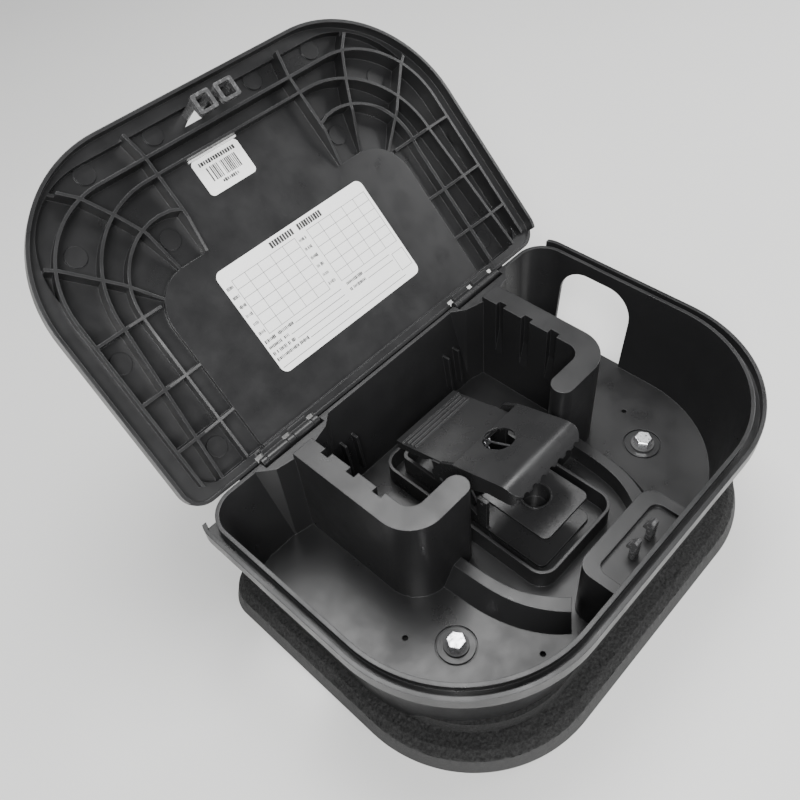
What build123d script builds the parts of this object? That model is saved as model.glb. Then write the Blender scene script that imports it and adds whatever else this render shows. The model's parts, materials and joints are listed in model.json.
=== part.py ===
from build123d import *
import os
from math import atan2, degrees, hypot

os.makedirs("parts", exist_ok=True)

# Frame, mm: X to the right, Y to the rear (hinge side), Z up, ground at Z = 0.

# Lid hinge and the pose the lid rests in
HINGE_Y = 111.5
HINGE_Z = 102.5
LID_OPEN_DEG = 135.0

# Tray moulding
WALL = 2.5
DECK_Z = 30.6
DECK_T = 3.0
TRAY_FOOT_Z = 16.0
RIM_Z = 103.5
RIM_IN_X = 159.0
RIM_IN_FRONT = -98.5
RIM_IN_REAR = 109.0
FOOT_IN_X = 149.5
FOOT_IN_FRONT = -89.0
FOOT_IN_REAR = 99.5
FRONT_R = 85.0
REAR_R = 19.0
LIP_X = 168.0
LIP_FRONT = -107.0
LIP_R = 92.0
LIP_T = 2.5
LIP_REAR = 104.0
LIP_REAR_R = 18.3
LIP_REAR_END = 113.8
LIP_SHELF_Z = 94.5
LIP_SHELF_T = 2.5
BAFFLE_Z = 108.0
BAFFLE_IN_X = 82.2
BAFFLE_OUT_X = 98.0
BAFFLE_REAR = 99.0
NOTCH_D = 4.0
NOTCH_FLOOR_Z = 60.0
NOTCH_BEND_Z = 82.0
NOTCHES = ((80.3, 86.5), (57.8, 64.6), (35.4, 42.6))
TUNNEL_REAR = 83.5
TUNNEL_FRONT = 23.0
TUNNEL_TOP = 94.0
TUNNEL_R = 21.0
TUB_X = 38.3
TUB_REAR = 89.0
TUB_FRONT = -50.5
TUB_RIM_Z = 46.5
TUB_R = 12.0
TUB_T = 2.0
PLATFORM_X = 37.0
PLATFORM_REAR = -68.0
PLATFORM_Z = 82.0
RECESS_X = 30.0
RECESS_REAR = -77.5
RECESS_FRONT = -96.4
RECESS_Z = 79.0
SCREW_X = 100.0
SCREW_Y = -31.7
SCREW_RING = (13.0, 12.0)
HOLE_R = 1.8
FLOOR_HOLES = ((117.0, -5.3), (70.4, -73.9))

# Weight block
BLOCK_X = 165.5
BLOCK_REAR = 122.0
BLOCK_FRONT = -111.0
BLOCK_BAND_Z = 10.5
BLOCK_R = 90.0
BLOCK_REAR_R = 24.0

# Hinge barrels and pins
BARREL_R = 3.0
PIN_R = 1.25
PIN_FIT = 0.05
LID_BARRELS = ((71.5, 86.2), (92.2, 108.6))
BASE_BARRELS = ((66.6, 71.1), (86.6, 91.8), (109.0, 113.4))

# Lid, laid out closed: s runs forward from the hinge axis, w runs up from it
LID_X = 164.7
LID_S = 215.0
LID_R = 89.0
LID_REAR_S = 1.0
LID_REAR_R = 15.0
BRIM_W = 3.5
BRIM_TOP_W = 6.0
TONGUE_W = -4.0
TONGUE_T = 2.2
TONGUE_S = 9.0
DOME_X = 152.0
DOME_S = 207.0
DOME_R = 60.0
DOME_REAR_S = 8.0
POCKET_W = 9.5
DOME_TOP_W = 12.0
RIB_W = -3.0
RIB_T = 2.0
PANEL_W = 6.5
PANEL_X = 104.3
PANEL_S = 124.5
PANEL_R = 28.0
STEM_X = 57.0
STEM_S = 176.0
SLOPE = 26.5

# Labels
CARD_W = 128.0
CARD_H = 76.0
CARD_S = 72.3
LABEL_W = 37.0
LABEL_H = 24.5
LABEL_X = -14.5
LABEL_S = 162.3
SHEET_T = 0.3
TAB = (38.0, 1.2, 1.8)
TAB_S = 175.25

# Snap trap
JAW_Y = 38.0
JAW_Z = 66.0
JAW_PIN_R = 1.6
JAW_X = 32.5
JAW_T = 2.2
PEDAL_X = 29.0
TRIG_Y = 10.0
TRIG_Z = 57.5
TRIG_PIN_R = 1.1
TRAP_X = 26.0
TRAP_REAR = 82.0
TRAP_FRONT = -40.0
TRAP_T = 2.4
CUP_Y = -13.0
CUP_R = 10.5


def open_lid(shape):
    """Turn something drawn in the closed position back to where the lid rests open."""
    return shape.rotate(Axis((0, HINGE_Y, HINGE_Z), (-1, 0, 0)), LID_OPEN_DEG)


def d_outline(half_x, front, rear, front_r, rear_r):
    """D-shaped plan: a straight rear with small corners and a front with large ones."""
    with BuildSketch() as plan:
        with Locations((0, (front + rear) / 2)):
            Rectangle(2 * half_x, rear - front)
        fillet(plan.vertices().group_by(Axis.Y)[0], front_r)
        fillet(plan.vertices().group_by(Axis.Y)[-1], rear_r)
    return plan.sketch


def lid_outline(half_x, s_front, s_rear, front_r, rear_r):
    """Plan of a lid feature, given by its distances from the hinge axis."""
    return d_outline(half_x, HINGE_Y - s_front, HINGE_Y - s_rear, front_r, rear_r)


def z_of(w):
    """Height of a closed-lid level above the ground."""
    return HINGE_Z + w


def save(part, label, colour):
    """Name a piece and write it out."""
    part.label = label
    part.color = colour
    export_step(part, "parts/" + label + ".step")


BLACK = Color(0.055, 0.055, 0.06)
STEEL = Color(0.75, 0.76, 0.78)
WHITE = Color(0.93, 0.93, 0.91)
STONE = Color(0.11, 0.11, 0.11)
GREY = Color(0.16, 0.16, 0.17)


# --- weight block: cast slab whose raised middle fills the hollow foot of the tray ---
SHOULDER_Z = 16.0
PLUG_Z = 27.6
PLUG_GAP = 1.5
BAND_LEAN = 3.0
SHOULDER_LEAN = 9.5
with BuildPart() as weight_block:
    with BuildSketch(Plane.XY):
        add(d_outline(BLOCK_X, BLOCK_FRONT, BLOCK_REAR, BLOCK_R, BLOCK_REAR_R))
    with BuildSketch(Plane.XY.offset(BLOCK_BAND_Z)):
        add(d_outline(BLOCK_X - BAND_LEAN, BLOCK_FRONT + BAND_LEAN, BLOCK_REAR - BAND_LEAN, BLOCK_R, BLOCK_REAR_R))
    loft(ruled=True)
    with BuildSketch(Plane.XY.offset(BLOCK_BAND_Z)):
        add(d_outline(BLOCK_X - BAND_LEAN, BLOCK_FRONT + BAND_LEAN, BLOCK_REAR - BAND_LEAN, BLOCK_R, BLOCK_REAR_R))
    with BuildSketch(Plane.XY.offset(SHOULDER_Z)):
        add(d_outline(BLOCK_X - BAND_LEAN - SHOULDER_LEAN / 2, BLOCK_FRONT + BAND_LEAN + SHOULDER_LEAN / 2,
                      BLOCK_REAR - BAND_LEAN - SHOULDER_LEAN / 2, BLOCK_R, BLOCK_REAR_R))
    loft(ruled=True)
    with BuildSketch(Plane.XY.offset(SHOULDER_Z)):
        add(d_outline(FOOT_IN_X - PLUG_GAP, FOOT_IN_FRONT + PLUG_GAP, FOOT_IN_REAR - PLUG_GAP, FRONT_R, REAR_R))
    extrude(amount=PLUG_Z - SHOULDER_Z)
    with Locations((SCREW_X, SCREW_Y, PLUG_Z), (-SCREW_X, SCREW_Y, PLUG_Z)):
        Hole(2.4, depth=18.0)


# --- base tray: floor, walls, lid groove, baffles, trap tub, guide ramps, lock platform ---
FOOT_LEAN_Z = RIM_Z - TRAY_FOOT_Z


def wall_in(z):
    """Inside plan of the leaning wall at height z."""
    k = (z - TRAY_FOOT_Z) / FOOT_LEAN_Z
    return (FOOT_IN_X + (RIM_IN_X - FOOT_IN_X) * k, FOOT_IN_FRONT + (RIM_IN_FRONT - FOOT_IN_FRONT) * k,
            FOOT_IN_REAR + (RIM_IN_REAR - FOOT_IN_REAR) * k)


def wall_plan(z, grow):
    """Wall outline at height z, grown outward by an amount."""
    half_x, front, rear = wall_in(z)
    return d_outline(half_x + grow, front - grow, rear + grow, FRONT_R + grow, REAR_R + grow)


def baffle_plan(shrink):
    """Right-hand J-shaped baffle, drawn with its faces moved in by an amount."""
    end_r = 7.8 - shrink
    hook_y = 7.3
    end_x = 51.5
    bend_x = 72.0
    out_r = 24.0
    a = (BAFFLE_OUT_X - shrink, BAFFLE_REAR - shrink)
    b = (BAFFLE_OUT_X - shrink, hook_y - 7.8 + out_r)
    c = (BAFFLE_OUT_X - out_r, hook_y - end_r)
    d = (end_x, hook_y - end_r)
    e = (end_x, hook_y + end_r)
    f = (bend_x, hook_y + end_r)
    g = (BAFFLE_IN_X + shrink, hook_y + 7.8 + BAFFLE_IN_X - bend_x)
    h = (BAFFLE_IN_X + shrink, BAFFLE_REAR - shrink)
    with BuildSketch() as plan:
        with BuildLine():
            Line(a, b)
            TangentArc(b, c, tangent=(0, -1))
            Line(c, d)
            ThreePointArc(d, (end_x - end_r, hook_y), e)
            Line(e, f)
            TangentArc(f, g, tangent=(1, 0))
            Line(g, h)
            Line(h, a)
        make_face()
    return plan.sketch


HINGE_BOX = ((58.0, 110.0), (122.0, 110.0), (111.0, 100.5), (98.0, 98.0), (82.2, 98.0), (68.0, 102.0))
HINGE_BOX_Z = 104.0
RAMP_H = 14.5
RAMP_FOOT = ((76.0, 2.0), (75.0, -11.0), (73.6, -28.0), (71.0, -41.0), (64.5, -58.5), (49.0, -79.0))
RAMP_TOP = ((66.0, 2.0), (65.4, -13.0), (64.0, -30.0), (61.0, -44.0), (55.5, -57.0), (44.0, -74.0))
RAMP_IN = ((58.5, 2.0), (58.0, -13.0), (56.6, -28.0), (53.6, -41.0), (48.4, -52.0), (36.0, -68.5))


TUNNEL_IN_X = 140.0
TUNNEL_CUT = 24.0
CORE_REAR = 92.0
CORE_FRONT = 26.0
PIN_POCKET = (65.6, 114.2)
PIN_POCKET_Z = 98.8
PIN_POCKET_D = 5.5
PLATFORM_CORE_DROP = 12.0
PLATFORM_R = 10.0
PLATFORM_FRONT = -99.5
RECESS_R = 6.0
SEAT_D = 1.2
SCREW_SHANK_R = 3.2
CLIP_T = 1.8
CLIPS = (46.5, 57.0)
CLIP_SIDE = ((97.0, 42.0), (103.6, 42.0), (107.0, 73.0), (100.2, 73.0))
RAIL = (128.0, 109.0, 118.5, 93.0, 95.8)


def ramp_plan(outer, inner, side):
    """Curved strip between two rows of points, closed by straight ends, on one side of the middle."""
    far = [(side * x, y) for x, y in outer]
    near = [(side * x, y) for x, y in inner]
    with BuildSketch() as plan:
        with BuildLine():
            Spline(*far)
            Line(far[-1], near[-1])
            Spline(*near)
            Line(near[0], far[0])
        make_face()
    return plan.sketch


def tunnel_plan():
    """Arched opening, drawn with the floor as its bottom edge."""
    with BuildSketch() as plan:
        with Locations(((TUNNEL_REAR + TUNNEL_FRONT) / 2, (TUNNEL_TOP + DECK_Z) / 2)):
            Rectangle(TUNNEL_REAR - TUNNEL_FRONT, TUNNEL_TOP - DECK_Z)
        fillet(plan.vertices().group_by(Axis.Y)[-1], TUNNEL_R)
    return plan.sketch


def platform_plan(shrink):
    """Lock platform against the front wall."""
    half_x = PLATFORM_X - shrink
    rear = PLATFORM_REAR - shrink
    front = PLATFORM_FRONT + 5.0 * shrink
    with BuildSketch() as plan:
        with Locations((0, (front + rear) / 2)):
            Rectangle(2 * half_x, rear - front)
        fillet(plan.vertices().group_by(Axis.Y)[-1], PLATFORM_R - shrink)
    return plan.sketch


with BuildPart() as tray_fittings:
    # baffles and hinge boxes, drawn on the right and mirrored
    with BuildSketch(Plane.XY.offset(DECK_Z - DECK_T)):
        add(baffle_plan(0.0))
        mirror(about=Plane.YZ)
    extrude(amount=BAFFLE_Z - DECK_Z + DECK_T)
    with BuildSketch(Plane.XY.offset(DECK_Z - DECK_T)):
        Polygon(*HINGE_BOX, align=None)
        mirror(about=Plane.YZ)
    extrude(amount=HINGE_BOX_Z - DECK_Z + DECK_T)
    for low, high in NOTCHES:
        with BuildSketch(Plane.XZ.offset(-high)):
            Polygon((BAFFLE_IN_X - 0.5, NOTCH_FLOOR_Z), (BAFFLE_IN_X + NOTCH_D, NOTCH_BEND_Z),
                    (BAFFLE_IN_X + NOTCH_D, BAFFLE_Z + 1.0), (BAFFLE_IN_X - 0.5, BAFFLE_Z + 1.0), align=None)
            mirror(about=Plane.YZ)
        extrude(amount=high - low, mode=Mode.SUBTRACT)
    # lock platform
    with BuildSketch(Plane.XY.offset(DECK_Z)):
        add(platform_plan(0.0))
    extrude(amount=PLATFORM_Z - DECK_Z)
    # everything that would stand outside the leaning wall is trimmed off
    for z in (DECK_Z - DECK_T, BAFFLE_Z):
        with BuildSketch(Plane.XY.offset(z)):
            add(wall_plan(z, WALL))
    loft(ruled=True, mode=Mode.INTERSECT)

with BuildPart() as base_tray:
    # outer skin of the leaning wall, then the two hollows over and under the floor
    for z in (TRAY_FOOT_Z, RIM_Z):
        with BuildSketch(Plane.XY.offset(z)):
            add(wall_plan(z, WALL))
    loft(ruled=True)
    for z in (DECK_Z, RIM_Z):
        with BuildSketch(Plane.XY.offset(z)):
            add(wall_plan(z, 0.0))
    loft(ruled=True, mode=Mode.SUBTRACT)
    for z in (TRAY_FOOT_Z, DECK_Z - DECK_T):
        with BuildSketch(Plane.XY.offset(z)):
            add(wall_plan(z, 0.0))
    loft(ruled=True, mode=Mode.SUBTRACT)
    add(tray_fittings.part)
    # the baffles and the platform are hollow from below
    with BuildSketch(Plane.XY.offset(DECK_Z - DECK_T)):
        with Locations(((BAFFLE_IN_X + NOTCH_D + BAFFLE_OUT_X) / 2, (CORE_REAR + CORE_FRONT) / 2)):
            Rectangle(BAFFLE_OUT_X - BAFFLE_IN_X - NOTCH_D - 2 * WALL, CORE_REAR - CORE_FRONT)
        mirror(about=Plane.YZ)
    extrude(amount=BAFFLE_Z - WALL - DECK_Z + DECK_T, mode=Mode.SUBTRACT)
    with BuildSketch(Plane.XY.offset(DECK_Z - DECK_T)):
        add(platform_plan(WALL))
    extrude(amount=PLATFORM_Z - PLATFORM_CORE_DROP - DECK_Z + DECK_T, mode=Mode.SUBTRACT)
    # shelf and upstand that form the groove for the lid
    with BuildSketch(Plane.XY.offset(LIP_SHELF_Z)):
        add(d_outline(LIP_X, LIP_FRONT, LIP_REAR_END, LIP_R, LIP_REAR_R))
        add(wall_plan(LIP_SHELF_Z, WALL / 2), mode=Mode.SUBTRACT)
        with Locations((0, LIP_REAR + LIP_R)):
            Rectangle(4 * LIP_X, 2 * LIP_R, mode=Mode.SUBTRACT)
    extrude(amount=LIP_SHELF_T)
    with BuildSketch(Plane.XY.offset(LIP_SHELF_Z)):
        add(d_outline(LIP_X, LIP_FRONT, LIP_REAR_END, LIP_R, LIP_REAR_R))
        add(d_outline(LIP_X - LIP_T, LIP_FRONT + LIP_T, LIP_REAR_END - LIP_T, LIP_R - LIP_T, LIP_REAR_R - LIP_T),
            mode=Mode.SUBTRACT)
        with Locations((0, LIP_REAR + LIP_R)):
            Rectangle(4 * LIP_X, 2 * LIP_R, mode=Mode.SUBTRACT)
    extrude(amount=RIM_Z - LIP_SHELF_Z)
    # pocket over each hinge box for the barrels, with the tray's own barrels standing in it
    for side in (-1, 1):
        with Locations((side * (PIN_POCKET[0] + PIN_POCKET[1]) / 2, HINGE_Y, (PIN_POCKET_Z + BAFFLE_Z) / 2)):
            Box(PIN_POCKET[1] - PIN_POCKET[0], 2 * PIN_POCKET_D, BAFFLE_Z - PIN_POCKET_Z, mode=Mode.SUBTRACT)
        for start, end in BASE_BARRELS:
            with BuildSketch(Plane.YZ.offset(min(side * start, side * end))):
                with Locations((HINGE_Y, HINGE_Z)):
                    Circle(BARREL_R)
                with Locations((HINGE_Y - 1.0, HINGE_Z - BARREL_R)):
                    Rectangle(2 * BARREL_R - 2.0, 2 * BARREL_R)
            extrude(amount=end - start)
        with BuildSketch(Plane.YZ.offset(min(side * BASE_BARRELS[0][0], side * BASE_BARRELS[2][1]))):
            with Locations((HINGE_Y, HINGE_Z)):
                Circle(PIN_R)
        extrude(amount=BASE_BARRELS[2][1] - BASE_BARRELS[0][0], mode=Mode.SUBTRACT)
    # arched runs through the side walls
    with BuildSketch(Plane.YZ.offset(TUNNEL_IN_X)):
        add(tunnel_plan())
    extrude(amount=TUNNEL_CUT, mode=Mode.SUBTRACT)
    with BuildSketch(Plane.YZ.offset(-TUNNEL_IN_X - TUNNEL_CUT)):
        add(tunnel_plan())
    extrude(amount=TUNNEL_CUT, mode=Mode.SUBTRACT)
    # trap tub, guide ramps and lock platform on the floor
    with BuildSketch(Plane.XY.offset(DECK_Z)):
        add(d_outline(TUB_X, TUB_FRONT, TUB_REAR, TUB_R, TUB_R))
        add(d_outline(TUB_X - TUB_T, TUB_FRONT + TUB_T, TUB_REAR - TUB_T, TUB_R - TUB_T, TUB_R - TUB_T),
            mode=Mode.SUBTRACT)
    extrude(amount=TUB_RIM_Z - DECK_Z)
    for side in (1, -1):
        with BuildSketch(Plane.XY.offset(DECK_Z)):
            add(ramp_plan(RAMP_FOOT, RAMP_IN, side))
        with BuildSketch(Plane.XY.offset(DECK_Z + RAMP_H)):
            add(ramp_plan(RAMP_TOP, RAMP_IN, side))
        loft(ruled=True)
    with BuildSketch(Plane.XY.offset(RECESS_Z)):
        with Locations((0, (RECESS_REAR + RECESS_FRONT) / 2)):
            Rectangle(2 * RECESS_X, RECESS_REAR - RECESS_FRONT)
        fillet(vertices().group_by(Axis.Y)[-1], RECESS_R)
    extrude(amount=PLATFORM_Z - RECESS_Z, mode=Mode.SUBTRACT)
    # screw holes, each with a groove round its flat seat, and drain holes
    for side in (-1, 1):
        with Locations((side * SCREW_X, SCREW_Y, DECK_Z)):
            Hole(SCREW_SHANK_R, depth=DECK_T)
        with BuildSketch(Plane.XY.offset(DECK_Z)):
            with Locations((side * SCREW_X, SCREW_Y)):
                Circle(SCREW_RING[0])
                Circle(SCREW_RING[1], mode=Mode.SUBTRACT)
        extrude(amount=-SEAT_D, mode=Mode.SUBTRACT)
        for x, y in FLOOR_HOLES:
            with Locations((side * x, y, DECK_Z)):
                Hole(HOLE_R, depth=DECK_T)
    # pairs of upright bait ribs on the rear wall, and the rail under the hinge line
    for side in (-1, 1):
        for x in CLIPS:
            with BuildSketch(Plane.YZ.offset(side * x - CLIP_T / 2)):
                Polygon(*CLIP_SIDE, align=None)
            extrude(amount=CLIP_T)
    half_x, rail_front, rail_rear, rail_low, rail_high = RAIL
    with Locations((0, (rail_front + rail_rear) / 2, (rail_low + rail_high) / 2)):
        Box(2 * half_x, rail_rear - rail_front, rail_high - rail_low)


# --- screws that hold the tray to the block, each with a flat washer ---
WASHER_R = 8.0
WASHER_T = 1.5
HEAD_AF = 11.0
HEAD_H = 5.5
SHANK_R = 2.4
SHANK_L = 20.0
SEAT_Z = DECK_Z
with BuildPart() as anchor_washers:
    with Locations((SCREW_X, SCREW_Y, SEAT_Z), (-SCREW_X, SCREW_Y, SEAT_Z)):
        Cylinder(WASHER_R, WASHER_T, align=(Align.CENTER, Align.CENTER, Align.MIN))
        Cylinder(SHANK_R, WASHER_T, align=(Align.CENTER, Align.CENTER, Align.MIN), mode=Mode.SUBTRACT)
with BuildPart() as anchor_screws:
    with BuildSketch(Plane.XY.offset(SEAT_Z + WASHER_T)):
        with Locations((SCREW_X, SCREW_Y), (-SCREW_X, SCREW_Y)):
            RegularPolygon(HEAD_AF / 2, 6, major_radius=False)
    extrude(amount=HEAD_H)
    chamfer(edges().group_by(Axis.Z)[-1], 0.6)
    with BuildSketch(Plane.XY.offset(SEAT_Z + WASHER_T)):
        with Locations((SCREW_X, SCREW_Y), (-SCREW_X, SCREW_Y)):
            Circle(SHANK_R)
    extrude(amount=-SHANK_L)


# --- lock hooks: a pair of barbed prongs standing in the platform recess ---
HOOK_X = 8.5
HOOK_W = 5.0
HOOK_Y = -88.0
HOOK_T = 4.0
HOOK_TOP_Z = 96.0
BARB_OUT = 2.4
BARB_H = 8.0
HOOK_SIDE = ((HOOK_Y + HOOK_T / 2, RECESS_Z), (HOOK_Y - HOOK_T / 2, RECESS_Z), (HOOK_Y - HOOK_T / 2, HOOK_TOP_Z - 1.0),
             (HOOK_Y, HOOK_TOP_Z), (HOOK_Y + HOOK_T / 2 + BARB_OUT, HOOK_TOP_Z - BARB_H + 1.5),
             (HOOK_Y + HOOK_T / 2 + BARB_OUT, HOOK_TOP_Z - BARB_H), (HOOK_Y + HOOK_T / 2, HOOK_TOP_Z - BARB_H))


def lock_hook(side):
    """One barbed prong, its side profile drawn in the YZ plane."""
    with BuildPart() as hook:
        with BuildSketch(Plane.YZ.offset(side * HOOK_X - HOOK_W / 2)):
            Polygon(*HOOK_SIDE, align=None)
        extrude(amount=HOOK_W)
    return hook.part


# --- hinge pins ---
def hinge_pin(side):
    """Steel pin through the barrels of one hinge."""
    start = min(side * BASE_BARRELS[0][0], side * BASE_BARRELS[2][1])
    with BuildPart() as pin:
        with BuildSketch(Plane.YZ.offset(start)):
            with Locations((HINGE_Y, HINGE_Z)):
                Circle(PIN_R)
        extrude(amount=BASE_BARRELS[2][1] - BASE_BARRELS[0][0])
    return pin.part


# --- lid, built closed and then swung open ---
RIB_ZONE_X = 157.0
RIB_ZONE_S = 206.5
RIB_ZONE_R = 82.0
RIB_REAR_S = 9.0
OUT_RIB_X = 150.8
OUT_RIB_S = 188.5
OUT_RIB_ARC = (90.8, 128.5, 60.0)
MID_RIB_FRONT = (0.0, 176.7)
MID_RIB_ARC = (66.0, 111.5, 65.2)
MID_RIB_REAR = ((131.2, 111.5), (138.5, RIB_REAR_S))
IN_RIB_ARC = (72.5, 111.5, 44.5)
IN_RIB_X = 117.0
IN_RIB_FRONT = ((58.0, 152.5), (65.0, 155.2), (72.5, 156.0))
CROSS_RIB_S = (37.0, 70.6, 112.0)
RADIALS = (((120.5, 201.5), (105.7, 187.3), (94.1, 168.0), (86.3, 152.8), (77.0, 120.0)),
           ((153.0, 167.5), (140.8, 158.6), (123.0, 140.8), (112.4, 130.0), (92.0, 108.0)))
STEM_RIB = ((58.0, 123.0), (58.0, 190.0), (62.0, 212.0))
BUTTONS = ((91.0, 199.8), (40.5, 200.5), (125.0, 162.0), (71.5, 142.3), (142.2, 97.6), (126.7, 24.5))
BUTTON_R = 6.6
BUTTON_H = 1.0
KEY_HOLE = ((-19.0, 195.5), (-4.5, 195.5), (-6.0, 203.5))


SKIN = 2.2
TOP_CHAMFER = 1.5
REAR_EDGE_W = 2.2
HINGE_NOTCH_S = 5.0
ARM = ((HINGE_Y, HINGE_Z + 0.5), (HINGE_Y, HINGE_Z + BARREL_R), (HINGE_Y - 3.2, HINGE_Z + BRIM_TOP_W),
       (HINGE_Y - 6.5, HINGE_Z + BRIM_TOP_W), (HINGE_Y - 6.5, HINGE_Z + 2.6), (HINGE_Y - 3.5, HINGE_Z + 2.6),
       (HINGE_Y - 2.4, HINGE_Z + 0.5))


def closed(x, s):
    """Plan position of a lid point in the closed pose."""
    return (x, HINGE_Y - s)


def strip(start, end):
    """Thin straight rib between two closed-pose lid points, added to the sketch being drawn."""
    (x0, y0), (x1, y1) = closed(*start), closed(*end)
    with Locations(((x0 + x1) / 2, (y0 + y1) / 2)):
        Rectangle(hypot(x1 - x0, y1 - y0) + RIB_T * 0.8, RIB_T, rotation=degrees(atan2(y1 - y0, x1 - x0)))


def row(points):
    """Ribs joining a row of points."""
    for start, end in zip(points, points[1:]):
        strip(start, end)


def arc_rib(x, s, radius, side):
    """Rib along a quarter circle, from the front of the circle round to its side."""
    centre_x, centre_y = closed(side * x, s)
    with BuildSketch() as rib:
        with Locations((centre_x, centre_y)):
            Circle(radius + RIB_T / 2)
            Circle(radius - RIB_T / 2, mode=Mode.SUBTRACT)
        with Locations((centre_x + side * radius, centre_y - radius)):
            Rectangle(2 * radius, 2 * radius, mode=Mode.INTERSECT)
    return rib.sketch


def lid_t_plan(shrink):
    """T-shaped panel in the middle of the lid."""
    with BuildSketch() as plan:
        add(lid_outline(PANEL_X - shrink, PANEL_S - shrink, DOME_REAR_S - 0.5 + shrink, PANEL_R - shrink, 2.0))
        with Locations(closed(0.0, (STEM_S + PANEL_S) / 2 - PANEL_R / 2)):
            Rectangle(2 * (STEM_X - shrink), STEM_S - PANEL_S + PANEL_R - 2 * shrink)
    return plan.sketch


def rib_plan():
    """All the ribs of the lid, clear of the T-shaped panel."""
    with BuildSketch() as plan:
        for side in (-1, 1):
            row([(side * x, s) for x, s in STEM_RIB])
            for line in RADIALS:
                row([(side * x, s) for x, s in line])
            for s in CROSS_RIB_S:
                strip((side * (PANEL_X - 1.0), s), (side * OUT_RIB_X, s))
            row([(0.0, OUT_RIB_S), (side * OUT_RIB_ARC[0], OUT_RIB_S)])
            add(arc_rib(*OUT_RIB_ARC, side))
            row([(side * OUT_RIB_X, OUT_RIB_ARC[1]), (side * OUT_RIB_X, RIB_REAR_S)])
            row([MID_RIB_FRONT, (side * MID_RIB_ARC[0], MID_RIB_FRONT[1])])
            add(arc_rib(*MID_RIB_ARC, side))
            row([(side * x, y) for x, y in MID_RIB_REAR])
            add(arc_rib(*IN_RIB_ARC, side))
            row([(side * x, s) for x, s in IN_RIB_FRONT])
            row([(side * IN_RIB_X, IN_RIB_ARC[1]), (side * IN_RIB_X, RIB_REAR_S)])
        add(lid_t_plan(0.0), mode=Mode.SUBTRACT)
    return plan.sketch


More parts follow.
